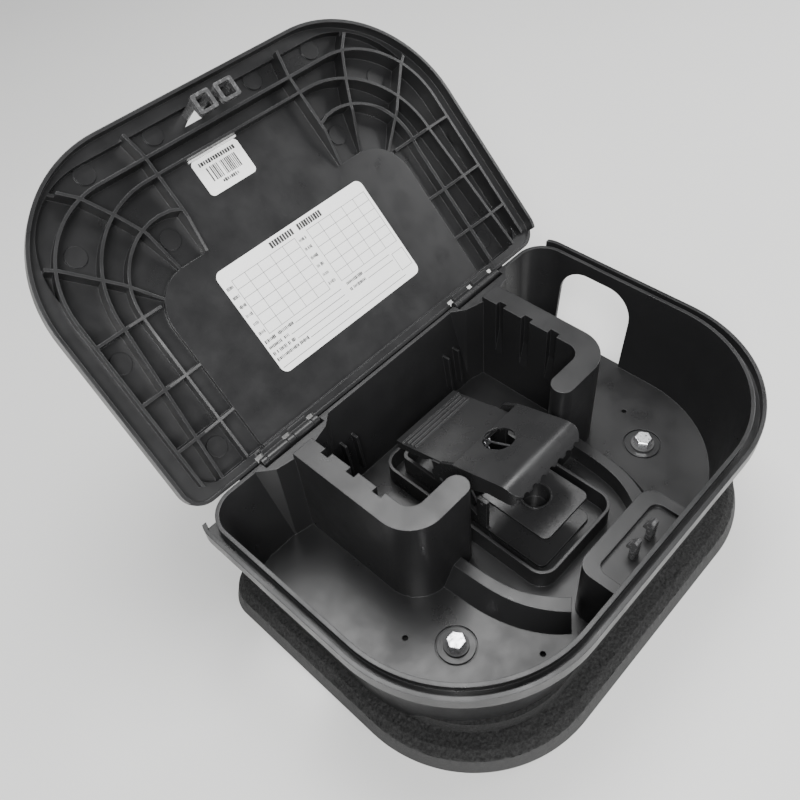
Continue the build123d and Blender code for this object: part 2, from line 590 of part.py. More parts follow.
RIBS = rib_plan()
with BuildPart() as lid:
    # brim, raised middle and the pocket hollow under it
    with BuildSketch(Plane.XY.offset(z_of(BRIM_W))):
        add(lid_outline(LID_X, LID_S, LID_REAR_S, LID_R, LID_REAR_R))
    extrude(amount=BRIM_TOP_W - BRIM_W)
    with BuildSketch(Plane.XY.offset(z_of(BRIM_W))):
        add(lid_outline(DOME_X, DOME_S, DOME_REAR_S - SKIN, DOME_R, LID_REAR_R))
    extrude(amount=DOME_TOP_W - BRIM_W)
    chamfer(edges().group_by(Axis.Z)[-1], TOP_CHAMFER)
    with BuildSketch(Plane.XY.offset(z_of(BRIM_W))):
        add(lid_outline(DOME_X - SKIN, DOME_S - SKIN, DOME_REAR_S, DOME_R - SKIN, LID_REAR_R - SKIN))
    extrude(amount=POCKET_W - BRIM_W, mode=Mode.SUBTRACT)
    # T-shaped panel, hollowed from above
    with BuildSketch(Plane.XY.offset(z_of(PANEL_W))):
        add(lid_t_plan(0.0))
    extrude(amount=POCKET_W - PANEL_W)
    with BuildSketch(Plane.XY.offset(z_of(PANEL_W + WALL))):
        add(lid_t_plan(WALL))
    extrude(amount=DOME_TOP_W - PANEL_W, mode=Mode.SUBTRACT)
    # ribs: deep where they hang inside the tray, shallow outside its wall
    with BuildSketch(Plane.XY.offset(z_of(RIB_W))):
        add(RIBS)
        add(lid_outline(RIB_ZONE_X, RIB_ZONE_S, RIB_REAR_S, RIB_ZONE_R, LID_REAR_R), mode=Mode.INTERSECT)
    extrude(amount=POCKET_W - RIB_W)
    with BuildSketch(Plane.XY.offset(z_of(BRIM_W))):
        add(RIBS)
        add(lid_outline(DOME_X, DOME_S, DOME_REAR_S, DOME_R, LID_REAR_R), mode=Mode.INTERSECT)
    extrude(amount=POCKET_W - BRIM_W)
    # the ribs thin out towards the panel
    for side in (-1, 1):
        with BuildSketch(Plane.XZ.offset(-HINGE_Y)):
            Polygon((side * PANEL_X, z_of(PANEL_W)), (side * (PANEL_X + SLOPE), z_of(RIB_W) - 0.1),
                    (side * PANEL_X, z_of(RIB_W) - 0.1), align=None)
        extrude(amount=PANEL_S - PANEL_R, mode=Mode.SUBTRACT)
        with BuildSketch(Plane.YZ.offset(min(side * (STEM_X + RIB_T), side * (PANEL_X - PANEL_R)))):
            Polygon((HINGE_Y - PANEL_S, z_of(PANEL_W)), (HINGE_Y - PANEL_S - SLOPE, z_of(RIB_W) - 0.1),
                    (HINGE_Y - PANEL_S, z_of(RIB_W) - 0.1), align=None)
        extrude(amount=PANEL_X - PANEL_R - STEM_X - RIB_T, mode=Mode.SUBTRACT)
        with Locations(Location((side * (PANEL_X - PANEL_R), HINGE_Y - PANEL_S + PANEL_R, z_of(PANEL_W)), (180, 0, 0))):
            Cone(PANEL_R, PANEL_R + SLOPE, PANEL_W - RIB_W + 0.1, mode=Mode.SUBTRACT,
                 align=(Align.CENTER, Align.CENTER, Align.MIN))
    # tongue that drops into the groove of the tray, and the low rear edge
    with BuildSketch(Plane.XY.offset(z_of(TONGUE_W))):
        add(lid_outline(LID_X, LID_S, LID_REAR_S, LID_R, LID_REAR_R))
        add(lid_outline(LID_X - TONGUE_T, LID_S - TONGUE_T, LID_REAR_S + TONGUE_T, LID_R - TONGUE_T,
                        LID_REAR_R - TONGUE_T), mode=Mode.SUBTRACT)
        with Locations(closed(0.0, 0.0)):
            Rectangle(4 * LID_X, 2 * TONGUE_S, mode=Mode.SUBTRACT)
    extrude(amount=BRIM_W - TONGUE_W)
    with BuildSketch(Plane.XY.offset(z_of(REAR_EDGE_W))):
        add(lid_outline(LID_X, LID_S, LID_REAR_S, LID_R, LID_REAR_R))
        add(lid_outline(LID_X - TONGUE_T, LID_S - TONGUE_T, LID_REAR_S + TONGUE_T, LID_R - TONGUE_T,
                        LID_REAR_R - TONGUE_T), mode=Mode.SUBTRACT)
        with Locations(closed(0.0, LID_S)):
            Rectangle(4 * LID_X, 2 * (LID_S - TONGUE_S), mode=Mode.SUBTRACT)
    extrude(amount=BRIM_W - REAR_EDGE_W)
    # round pads and the key opening
    for x, s in BUTTONS:
        for side in (-1, 1):
            with Locations((side * x, HINGE_Y - s, z_of(POCKET_W))):
                Cylinder(BUTTON_R, BUTTON_H, align=(Align.CENTER, Align.CENTER, Align.MAX))
    with BuildSketch(Plane.XY.offset(z_of(POCKET_W) - 0.1)):
        Polygon(*[closed(*p) for p in KEY_HOLE], align=None)
    extrude(amount=DOME_TOP_W, mode=Mode.SUBTRACT)
    # hinge notches in the rear edge, then the barrels on their arms
    for side in (-1, 1):
        with Locations((side * (PIN_POCKET[0] + PIN_POCKET[1]) / 2, HINGE_Y, z_of(REAR_EDGE_W))):
            Box(PIN_POCKET[1] - PIN_POCKET[0], 2 * HINGE_NOTCH_S, 2 * BRIM_TOP_W, mode=Mode.SUBTRACT)
        for start, end in LID_BARRELS:
            with BuildSketch(Plane.YZ.offset(min(side * start, side * end))):
                with Locations((HINGE_Y, HINGE_Z)):
                    Circle(BARREL_R)
                Polygon(*ARM, align=None)
            extrude(amount=end - start)
        with BuildSketch(Plane.YZ.offset(min(side * BASE_BARRELS[0][0], side * BASE_BARRELS[2][1]))):
            with Locations((HINGE_Y, HINGE_Z)):
                Circle(PIN_R + PIN_FIT)
        extrude(amount=BASE_BARRELS[2][1] - BASE_BARRELS[0][0], mode=Mode.SUBTRACT)


# --- lid catches: a slotted loop on two arms each, over the hooks ---
CATCH_X = 9.0
CATCH_S = 198.3
CATCH_W = 14.0
CATCH_L = 13.0
CATCH_OPEN_W = 8.6
CATCH_OPEN_L = 8.8
CATCH_LOW_W = -13.5
CATCH_HIGH_W = -9.5
ARM_T = 2.0
ARM_L = 5.0


def lid_catch(side):
    """One square loop hanging from the lid on two arms, closed pose."""
    x = side * CATCH_X
    with BuildPart() as catch:
        with BuildSketch(Plane.XY.offset(z_of(CATCH_LOW_W))):
            with Locations(closed(x, CATCH_S)):
                RectangleRounded(CATCH_W, CATCH_L, 1.5)
                RectangleRounded(CATCH_OPEN_W, CATCH_OPEN_L, 1.0, mode=Mode.SUBTRACT)
        extrude(amount=CATCH_HIGH_W - CATCH_LOW_W)
        with BuildSketch(Plane.XY.offset(z_of(CATCH_HIGH_W))):
            for arm_x in (x - CATCH_W / 2 + ARM_T / 2, x + CATCH_W / 2 - ARM_T / 2):
                with Locations(closed(arm_x, CATCH_S + ARM_L / 2)):
                    Rectangle(ARM_T, ARM_L)
        extrude(amount=POCKET_W - CATCH_HIGH_W)
    return catch.part


# --- labels stuck on the panel ---
with BuildPart() as record_card:
    with BuildSketch(Plane.XY.offset(z_of(PANEL_W) - SHEET_T)):
        with Locations(closed(0.0, CARD_S)):
            RectangleRounded(CARD_W, CARD_H, 5.0)
    extrude(amount=SHEET_T)
with BuildPart() as small_label:
    with BuildSketch(Plane.XY.offset(z_of(PANEL_W) - SHEET_T)):
        with Locations(closed(LABEL_X, LABEL_S)):
            RectangleRounded(LABEL_W, LABEL_H, 3.0)
    extrude(amount=SHEET_T)


# raised tab along the front edge of the small label
with BuildPart() as label_tab:
    with Locations((LABEL_X, HINGE_Y - TAB_S, z_of(PANEL_W))):
        Box(*TAB, align=(Align.CENTER, Align.CENTER, Align.MAX))


# --- snap trap: base, jaw, pedal, spring, trigger ---
TRAP_Z = DECK_Z
SIDE_Z = 48.0
EAR_Z = 71.0
EAR_L = 16.0
EAR_T = 3.0
LOW_SIDE_Z = 33.0
with BuildPart() as trap_base:
    with BuildSketch(Plane.XY.offset(TRAP_Z)):
        with Locations((0, (TRAP_REAR + TRAP_FRONT) / 2)):
            RectangleRounded(2 * TRAP_X, TRAP_REAR - TRAP_FRONT, 5.0)
    extrude(amount=SIDE_Z - TRAP_Z)
    with BuildSketch(Plane.XY.offset(TRAP_Z + TRAP_T)):
        with Locations((0, (TRAP_REAR + TRAP_FRONT) / 2)):
            RectangleRounded(2 * (TRAP_X - TRAP_T), TRAP_REAR - TRAP_FRONT - 2 * TRAP_T, 3.0)
    extrude(amount=SIDE_Z, mode=Mode.SUBTRACT)
    # side walls drop away ahead of the pivots to leave the jaws clear
    with BuildSketch(Plane.YZ.offset(-TRAP_X)):
        Polygon((24.0, SIDE_Z), (4.0, LOW_SIDE_Z), (TRAP_FRONT - 1, LOW_SIDE_Z), (TRAP_FRONT - 1, SIDE_Z), align=None)
    extrude(amount=2 * TRAP_X, mode=Mode.SUBTRACT)
    for side in (-1, 1):
        with BuildSketch(Plane.YZ.offset(side * (TRAP_X - EAR_T / 2) - EAR_T / 2)):
            with Locations((JAW_Y, (EAR_Z + TRAP_Z) / 2)):
                Rectangle(EAR_L, EAR_Z - TRAP_Z)
            with Locations((TRIG_Y, (TRIG_Z + 3.0 + TRAP_Z) / 2)):
                Rectangle(8.0, TRIG_Z + 3.0 - TRAP_Z)
            with Locations((JAW_Y, JAW_Z)):
                Circle(JAW_PIN_R, mode=Mode.SUBTRACT)
            with Locations((TRIG_Y, TRIG_Z)):
                Circle(TRIG_PIN_R, mode=Mode.SUBTRACT)
        extrude(amount=EAR_T)

with BuildPart() as trap_pin:
    with BuildSketch(Plane.YZ.offset(-JAW_X)):
        with Locations((JAW_Y, JAW_Z)):
            Circle(JAW_PIN_R)
    extrude(amount=2 * JAW_X)
with BuildPart() as trigger_pin:
    with BuildSketch(Plane.YZ.offset(-TRAP_X)):
        with Locations((TRIG_Y, TRIG_Z)):
            Circle(TRIG_PIN_R)
    extrude(amount=2 * TRAP_X)

# jaw: sloping roof with a curved toothed lip, on two side cheeks
JAW_REAR = (28.0, 90.5)
JAW_SHOULDER = (-9.0, 102.4)
JAW_NOSE = (-17.6, 101.9)
JAW_TIP = (-23.2, 96.8)
IN_SHOULDER = (-8.4, 100.0)
IN_NOSE = (-16.4, 99.7)
IN_TIP = (-21.6, 95.4)
IN_REAR = (28.7, 88.4)
CHEEK = ((44.0, 60.5), (46.0, 70.0), (38.0, 84.0), JAW_REAR, JAW_SHOULDER, (-16.6, 101.0), (-21.8, 95.8),
         (-19.0, 90.0), (0.0, 86.0), (22.0, 72.0), (32.0, 61.0))
JAW_HOLE = (17.5, 10.4)
JAW_R = 8.0
LIP_TEETH = 8
LIP_NOTCH = 5.2
with BuildPart() as trap_jaw:
    with BuildSketch(Plane.YZ.offset(-JAW_X)):
        with BuildLine():
            Line(JAW_REAR, JAW_SHOULDER)
            ThreePointArc(JAW_SHOULDER, JAW_NOSE, JAW_TIP)
            Line(JAW_TIP, IN_TIP)
            ThreePointArc(IN_TIP, IN_NOSE, IN_SHOULDER)
            Line(IN_SHOULDER, IN_REAR)
            Line(IN_REAR, JAW_REAR)
        make_face()
    extrude(amount=2 * JAW_X)
    for side in (-1, 1):
        with BuildSketch(Plane.YZ.offset(side * (JAW_X - JAW_T / 2) - JAW_T / 2)):
            Polygon(*CHEEK, align=None)
            with Locations((JAW_Y, JAW_Z)):
                Circle(JAW_PIN_R + PIN_FIT, mode=Mode.SUBTRACT)
        extrude(amount=JAW_T)
    # the front corners are rounded in plan
    with BuildSketch(Plane.XY.offset(JAW_Z - 10.0)):
        with Locations((0, (JAW_TIP[0] + 50.0) / 2)):
            Rectangle(2 * JAW_X, 50.0 - JAW_TIP[0])
        fillet(vertices().group_by(Axis.Y)[0], JAW_R)
    extrude(amount=50.0, mode=Mode.INTERSECT)
    with Locations((0, JAW_HOLE[0], JAW_SHOULDER[1])):
        Cylinder(JAW_HOLE[1], 60.0, mode=Mode.SUBTRACT)
    with Locations([((k - (LIP_TEETH - 2) / 2) * 2 * JAW_X / LIP_TEETH, JAW_TIP[0], JAW_TIP[1] - 1.0)
                    for k in range(LIP_TEETH - 1)]):
        Cylinder(LIP_NOTCH / 2, 7.0, rotation=(45, 0, 0), mode=Mode.SUBTRACT)

# pedal: ridged plate behind the pivot, on two arms that join the cheeks
PEDAL_REAR = (81.0, 67.5)
PEDAL_FRONT = (30.5, 82.0)
PEDAL_T = 2.4
PEDAL_RIDGES = (65.5, 69.0, 72.5)
SKIRT = ((52.0, 72.0), (56.0, 68.5), (80.0, 61.5), (80.6, 67.0), (52.0, 75.0))
BAND = ((81.0, 67.4), (81.0, 68.4), (76.0, 69.9), (75.2, 69.1))
PEDAL_SIDE = (PEDAL_REAR, PEDAL_FRONT, (PEDAL_FRONT[0] - 0.7, PEDAL_FRONT[1] - PEDAL_T),
              (PEDAL_REAR[0] - 0.7, PEDAL_REAR[1] - PEDAL_T))
PEDAL_SLOPE = (PEDAL_FRONT[1] - PEDAL_REAR[1]) / (PEDAL_REAR[0] - PEDAL_FRONT[0])
PEDAL_ARM = ((46.0, 66.0), (48.0, 76.0), (38.0, 79.0), (36.5, 72.5), (41.0, 70.0))
with BuildPart() as trap_pedal:
    with BuildSketch(Plane.YZ.offset(-PEDAL_X)):
        Polygon(*PEDAL_SIDE, align=None)
    extrude(amount=2 * PEDAL_X)
    for y in PEDAL_RIDGES:
        with BuildSketch(Plane.YZ.offset(-PEDAL_X + 2.0)):
            with Locations((y, PEDAL_REAR[1] + (PEDAL_REAR[0] - y) * PEDAL_SLOPE)):
                Circle(0.9)
        extrude(amount=2 * PEDAL_X - 4.0)
    with BuildSketch(Plane.YZ.offset(-PEDAL_X)):
        Polygon(*BAND, align=None)
    extrude(amount=2 * PEDAL_X)
    for side in (-1, 1):
        with BuildSketch(Plane.YZ.offset(side * (PEDAL_X - PEDAL_T / 2) - PEDAL_T / 2)):
            Polygon(*SKIRT, align=None)
        extrude(amount=PEDAL_T)
        start = min(side * PEDAL_X, side * (JAW_X - JAW_T))
        with BuildSketch(Plane.YZ.offset(start)):
            Polygon(*PEDAL_ARM, align=None)
        extrude(amount=JAW_X - JAW_T - PEDAL_X)

# double torsion spring: a loop that pushes the roof up, a coil each side of it, and a leg down from each
COIL_R = 4.2
WIRE_R = 0.75
COIL_TURNS = 3.25
COIL_PITCH = 2.1
COIL_X = 5.6
LOOP_L = 46.0
LOOP_END = (-1.95, 2.13, 94.9)
LEG_L = 36.0
# plane at the inner end of the left coil, its x axis square to the loop
COIL_PLANE = Plane(origin=(-COIL_X, JAW_Y, JAW_Z), x_dir=(0, 0.554, 0.833), z_dir=(-1, 0, 0))
with BuildPart() as half_spring:
    with BuildLine() as wire_line:
        coil = Helix(COIL_PITCH, COIL_PITCH * COIL_TURNS, COIL_R)
        Line(coil @ 0 - (coil % 0) * LOOP_L, coil @ 0)
        Line(coil @ 1, coil @ 1 + (coil % 1) * LEG_L)
    with BuildSketch(Plane(origin=wire_line.wires()[0] @ 0, z_dir=wire_line.wires()[0] % 0)):
        Circle(WIRE_R)
    sweep(path=wire_line.wires()[0])
with BuildPart() as trap_spring:
    add(COIL_PLANE * half_spring.part)
    mirror(about=Plane.YZ)
    with BuildSketch(Plane.YZ.offset(LOOP_END[0] - WIRE_R)):
        with Locations(LOOP_END[1:]):
            Circle(WIRE_R + 0.1)
    extrude(amount=2 * (WIRE_R - LOOP_END[0]))

# trigger plate with its round bait cup
TRIG_X = 22.5
TRIG_T = 2.0
TRIG_REAR = 13.0
TRIG_FRONT = -38.5
TRIG_TOP_Z = 60.0
TRIG_BARREL_R = 2.4
with BuildPart() as trigger_plate:
    with BuildSketch(Plane.XY.offset(TRIG_TOP_Z - TRIG_T)):
        with Locations((0, (TRIG_REAR + TRIG_FRONT) / 2)):
            Rectangle(2 * TRIG_X, TRIG_REAR - TRIG_FRONT)
        fillet(vertices().group_by(Axis.Y)[0], 5.0)
        with Locations((0, CUP_Y)):
            Circle(CUP_R, mode=Mode.SUBTRACT)
    extrude(amount=TRIG_T)
    with BuildSketch(Plane.YZ.offset(-TRIG_X)):
        with Locations((TRIG_Y, TRIG_Z)):
            Circle(TRIG_BARREL_R)
            Circle(TRIG_PIN_R + PIN_FIT, mode=Mode.SUBTRACT)
    extrude(amount=2 * TRIG_X)
    with BuildSketch(Plane.YZ.offset(-TRIG_X)):
        with Locations((TRIG_Y, TRIG_Z)):
            Circle(TRIG_PIN_R + PIN_FIT)
    extrude(amount=2 * TRIG_X, mode=Mode.SUBTRACT)
CUP_DEPTH = 16.0
CUP_T = 1.2
with BuildPart() as bait_cup:
    with Locations((0, CUP_Y, TRIG_TOP_Z + 1.0)):
        Cylinder(CUP_R, CUP_DEPTH, align=(Align.CENTER, Align.CENTER, Align.MAX))
        Cylinder(CUP_R - CUP_T, CUP_DEPTH - CUP_T, align=(Align.CENTER, Align.CENTER, Align.MAX), mode=Mode.SUBTRACT)

save(weight_block.part, "weight_block", STONE)
save(base_tray.part, "base_tray", BLACK)
save(anchor_screws.part, "anchor_screws", STEEL)
save(anchor_washers.part, "anchor_washers", GREY)
save(lock_hook(-1), "lock_hook_left", GREY)
save(lock_hook(1), "lock_hook_right", GREY)
save(hinge_pin(-1), "hinge_pin_left", STEEL)
save(hinge_pin(1), "hinge_pin_right", STEEL)
save(open_lid(lid.part), "lid", BLACK)
save(open_lid(lid_catch(-1)), "lid_catch_left", GREY)
save(open_lid(lid_catch(1)), "lid_catch_right", GREY)
save(open_lid(record_card.part), "record_card", WHITE)
save(open_lid(small_label.part), "small_label", WHITE)
save(open_lid(label_tab.part), "label_tab", WHITE)
save(trap_base.part, "trap_base", BLACK)
save(trap_pin.part, "trap_pin", STEEL)
save(trigger_pin.part, "trigger_pin", STEEL)
save(trap_jaw.part, "trap_jaw", BLACK)
save(trap_pedal.part, "trap_pedal", BLACK)
save(trap_spring.part, "trap_spring", STEEL)
save(trigger_plate.part, "trigger_plate", BLACK)
save(bait_cup.part, "bait_cup", BLACK)
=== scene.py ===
import json
from math import cos, pi, radians, sin

import bmesh
import bpy
from mathutils import Matrix, Vector, noise


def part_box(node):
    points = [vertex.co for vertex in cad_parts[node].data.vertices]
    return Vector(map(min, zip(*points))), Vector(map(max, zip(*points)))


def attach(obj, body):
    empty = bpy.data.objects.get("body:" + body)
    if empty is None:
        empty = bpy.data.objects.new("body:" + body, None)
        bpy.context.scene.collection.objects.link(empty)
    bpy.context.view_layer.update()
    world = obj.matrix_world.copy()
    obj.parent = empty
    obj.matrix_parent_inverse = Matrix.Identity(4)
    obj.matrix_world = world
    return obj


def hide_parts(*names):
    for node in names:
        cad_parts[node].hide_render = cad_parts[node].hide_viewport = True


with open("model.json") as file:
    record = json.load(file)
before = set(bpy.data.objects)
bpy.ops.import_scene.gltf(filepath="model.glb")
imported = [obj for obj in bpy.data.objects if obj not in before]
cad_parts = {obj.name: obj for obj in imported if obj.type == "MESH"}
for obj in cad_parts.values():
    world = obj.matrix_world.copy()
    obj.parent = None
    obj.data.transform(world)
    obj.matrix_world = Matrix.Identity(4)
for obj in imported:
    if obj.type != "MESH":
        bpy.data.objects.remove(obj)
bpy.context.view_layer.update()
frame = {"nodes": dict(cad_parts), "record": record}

bl_info = {
    "name": "Bait station dresser",
    "version": (1, 0, 0),
    "blender": (4, 5, 0),
    "location": "View3D > Sidebar > Bait Station",
    "description": "Gives the bait station's frame its moulded plastic, cast stone, steel and printed card",
    "category": "Object",
}

MM = 0.001
JOINTS = {joint["name"]: joint for joint in frame["record"]["behaviour"]["joints"]}
LID_OPEN = radians(JOINTS["lid_hinge"]["range_deg"][1])
JAW_PIVOT = Vector(JOINTS["jaw_pivot"]["pos_m"])

# half the thickness of a label, which is where its printed face lies
SHEET_FACE = 0.15 * MM

# the weight block's plan and profile
BLOCK_FRONT_R = 90 * MM
BLOCK_REAR_R = 24 * MM
BAND_H = 10.5 * MM
SHOULDER_H = 16.0 * MM
BAND_LEAN = 3.0
SHOULDER_LEAN = 4.75
LEDGE_END = 17.75
PLUG_INSET = 17.8
RISE_STEPS = 9
LEDGE_STEPS = 13
ROUGH_END = 17.0 * MM
GRAIN_WAVES = 330.0
LUMP_WAVES = 90.0

# the way the spring's legs run, and how far from the jaw's pivot they part from the coils
LEG_WAY = Vector((0.0, -0.554, -0.833))
LEG_START = 5.2 * MM

# half the width of the floor, and the camera
FLOOR_HALF = 6.0
CAMERA_TARGET = Vector((-0.0246, 0.078, 0.108))
CAMERA_DISTANCE = 0.54188
CAMERA_AZIMUTH, CAMERA_HEIGHT, CAMERA_ROLL = radians(-41.79), radians(48.91), radians(-6.53)
CAMERA_LENS = 38.39

# lamps: name, place, size, power
LAMPS = (("key", (-0.75, -0.55, 1.15), 0.55, 26.0), ("top", (0.30, 0.45, 1.45), 0.8, 20.0),
         ("side", (1.20, -0.25, 0.70), 0.6, 12.0), ("front", (-0.10, -1.35, 0.42), 0.7, 11.0))
LAMP_AIM = Vector((0.0, 0.03, 0.09))
WORLD_COLOUR = (0.93, 0.94, 0.95, 1.0)
WORLD_STRENGTH = 0.26


class StationColours(bpy.types.PropertyGroup):
    """Colours of the bait station's finishes."""
    box: bpy.props.FloatVectorProperty(
        name="Box plastic", description="Black moulded plastic of the tray and the lid",
        subtype="COLOR", size=4, min=0.0, max=1.0, default=(0.013, 0.013, 0.0135, 1.0))
    trap: bpy.props.FloatVectorProperty(
        name="Trap plastic", description="Black moulded plastic of the snap trap",
        subtype="COLOR", size=4, min=0.0, max=1.0, default=(0.017, 0.017, 0.0175, 1.0))
    latch: bpy.props.FloatVectorProperty(
        name="Latch plastic", description="Grained dark plastic of the lock hooks and catches",
        subtype="COLOR", size=4, min=0.0, max=1.0, default=(0.060, 0.060, 0.061, 1.0))
    stone: bpy.props.FloatVectorProperty(
        name="Cast stone", description="Dyed stone of the weight block",
        subtype="COLOR", size=4, min=0.0, max=1.0, default=(0.014, 0.014, 0.014, 1.0))
    zinc: bpy.props.FloatVectorProperty(
        name="Zinc", description="Bright zinc plating of the screw heads",
        subtype="COLOR", size=4, min=0.0, max=1.0, default=(0.86, 0.86, 0.87, 1.0))
    steel: bpy.props.FloatVectorProperty(
        name="Steel", description="Drawn steel of the trap pins and the spring",
        subtype="COLOR", size=4, min=0.0, max=1.0, default=(0.74, 0.74, 0.76, 1.0))
    # the hinge pins' colour is steel darkened as painted shade, for the pins that lie in shadow in the gaps between
    # the hinge knuckles
    shaded_pin_steel: bpy.props.FloatVectorProperty(
        name="Steel with painted shade", description="Steel of the hinge pins, darkened as painted shade for the gaps between the knuckles",
        subtype="COLOR", size=4, min=0.0, max=1.0, default=(0.09, 0.09, 0.09, 1.0))
    card: bpy.props.FloatVectorProperty(
        name="Card", description="Coated white card of the record card and the small label",
        subtype="COLOR", size=4, min=0.0, max=1.0, default=(0.90, 0.90, 0.89, 1.0))
    ink: bpy.props.FloatVectorProperty(
        name="Ink", description="Ink of the printed marks",
        subtype="COLOR", size=4, min=0.0, max=1.0, default=(0.02, 0.02, 0.02, 1.0))
    ruling: bpy.props.FloatVectorProperty(
        name="Ruling", description="Grey ink of the ruled lines",
        subtype="COLOR", size=4, min=0.0, max=1.0, default=(0.13, 0.13, 0.13, 1.0))
    floor: bpy.props.FloatVectorProperty(
        name="Floor", description="Pale floor under the station",
        subtype="COLOR", size=4, min=0.0, max=1.0, default=(0.72, 0.72, 0.71, 1.0))


class StationSizes(bpy.types.PropertyGroup):
    """Sizes that shape the finishes and the remade pieces."""
    edge_round: bpy.props.FloatProperty(
        name="Edge rounding", description="Radius that softens the moulded edges",
        unit="LENGTH", min=0.0, max=0.003, default=0.0007)
    stone_step: bpy.props.FloatProperty(
        name="Stone step", description="Distance between the points of the rough stone",
        unit="LENGTH", min=0.0004, max=0.01, default=0.00072)
    stone_relief: bpy.props.FloatProperty(
        name="Stone relief", description="Height of the grains on the rough shoulder of the stone",
        unit="LENGTH", min=0.0, max=0.003, default=0.0011)
    ink_depth: bpy.props.FloatProperty(
        name="Ink depth", description="Thickness of the printed marks",
        unit="LENGTH", min=0.00001, max=0.0002, default=0.00004)
    rule_width: bpy.props.FloatProperty(
        name="Ruled line", description="Width of the ruled lines on the card",
        unit="LENGTH", min=0.0001, max=0.002, default=0.0004)


def setting():
    """The colours and sizes in use."""
    return bpy.context.scene.station_colours, bpy.context.scene.station_sizes


# ---------------------------------------------------------------- materials

def part(tree, kind, sockets=None, **settings):
    """One node, with its settings and with values or links on its sockets."""
    made = tree.nodes.new(kind)
    for key, value in settings.items():
        setattr(made, key, value)
    for key, value in (sockets or {}).items():
        if isinstance(value, bpy.types.NodeSocket):
            tree.links.new(value, made.inputs[key])
        else:
            made.inputs[key].default_value = value
    return made


def new_finish(name, **sockets):
    """A material with its shader's own sockets set."""
    finish = bpy.data.materials.new(name)
    finish.use_nodes = True
    shader = finish.node_tree.nodes["Principled BSDF"]
    for key, value in sockets.items():
        shader.inputs[key.replace("_", " ")].default_value = value
    return finish, finish.node_tree, shader


def grains(tree, place, scale, detail=3.0, roughness=0.6):
    """Noise of a given number of waves to the metre."""
    return part(tree, "ShaderNodeTexNoise", {"Vector": place, "Scale": scale, "Detail": detail,
                                             "Roughness": roughness}).outputs["Fac"]


def ramp(tree, value, low, high, to_low, to_high):
    """Value stretched from one range to another and held at its ends."""
    return part(tree, "ShaderNodeMapRange", {"Value": value, "From Min": low, "From Max": high, "To Min": to_low,
                                             "To Max": to_high}).outputs["Result"]


def blended(tree, factor, first, second):
    """Colour between two others."""
    return part(tree, "ShaderNodeMix", {0: factor, 6: first, 7: second}, data_type="RGBA").outputs[2]


def shade(colour, factor):
    """Colour made lighter or darker."""
    return [min(1.0, channel * factor) for channel in colour[:3]] + [1.0]


def edge_wear(tree, rounded, amount):
    """Share of rubbed plastic: where the rounded edge turns away from the flat face."""
    flat = part(tree, "ShaderNodeNewGeometry").outputs["Normal"]
    turn = part(tree, "ShaderNodeVectorMath", {0: rounded, 1: flat}, operation="DOT_PRODUCT").outputs["Value"]
    return ramp(tree, turn, 0.995, 0.80, 0.0, amount)


def moulded_plastic(name, colour, roughness, edge, wear, texture=1.0):
    """Spark-textured black plastic: soft edges, slight clouding, rubbed edges and a fine grain."""
    finish, tree, shader = new_finish(name, Specular_IOR_Level=0.5, IOR=1.49)
    place = part(tree, "ShaderNodeTexCoord").outputs["Object"]
    rounded = part(tree, "ShaderNodeBevel", {"Radius": edge}, samples=4).outputs["Normal"]
    cloud = grains(tree, place, 16.0, 5.0)
    rubbed = edge_wear(tree, rounded, wear)
    body = blended(tree, cloud, shade(colour, 0.88), shade(colour, 1.15))
    tree.links.new(blended(tree, rubbed, body, shade(colour, 5.0)), shader.inputs["Base Color"])
    patchy = ramp(tree, grains(tree, place, 45.0, 4.0), 0.3, 0.7, roughness - 0.07, roughness + 0.09)
    tree.links.new(patchy, shader.inputs["Roughness"])
    sag = part(tree, "ShaderNodeBump", {"Strength": 0.35, "Distance": 0.0006,
                                        "Height": grains(tree, place, 22.0, 2.0),
                                        "Normal": rounded}).outputs["Normal"]
    grain = part(tree, "ShaderNodeBump", {"Strength": 0.4 * texture, "Distance": 0.00008,
                                          "Height": grains(tree, place, 1500.0, 2.0), "Normal": sag})
    tree.links.new(grain.outputs["Normal"], shader.inputs["Normal"])
    return finish


def grained_plastic(name, colour, edge):
    """Glossier plastic with pale flecks, as on a part moulded from reground stock."""
    finish, tree, shader = new_finish(name, Specular_IOR_Level=0.6, Coat_Weight=0.25, Coat_Roughness=0.15)
    place = part(tree, "ShaderNodeTexCoord").outputs["Object"]
    rounded = part(tree, "ShaderNodeBevel", {"Radius": edge}, samples=4).outputs["Normal"]
    fleck = ramp(tree, grains(tree, place, 420.0, 3.0), 0.50, 0.74, 0.0, 1.0)
    tree.links.new(blended(tree, fleck, list(colour), shade(colour, 2.4)), shader.inputs["Base Color"])
    tree.links.new(ramp(tree, fleck, 0.0, 1.0, 0.24, 0.45), shader.inputs["Roughness"])
    bump = part(tree, "ShaderNodeBump", {"Strength": 0.6, "Distance": 0.00025,
                                         "Height": grains(tree, place, 260.0, 2.0), "Normal": rounded})
    tree.links.new(bump.outputs["Normal"], shader.inputs["Normal"])
    return finish


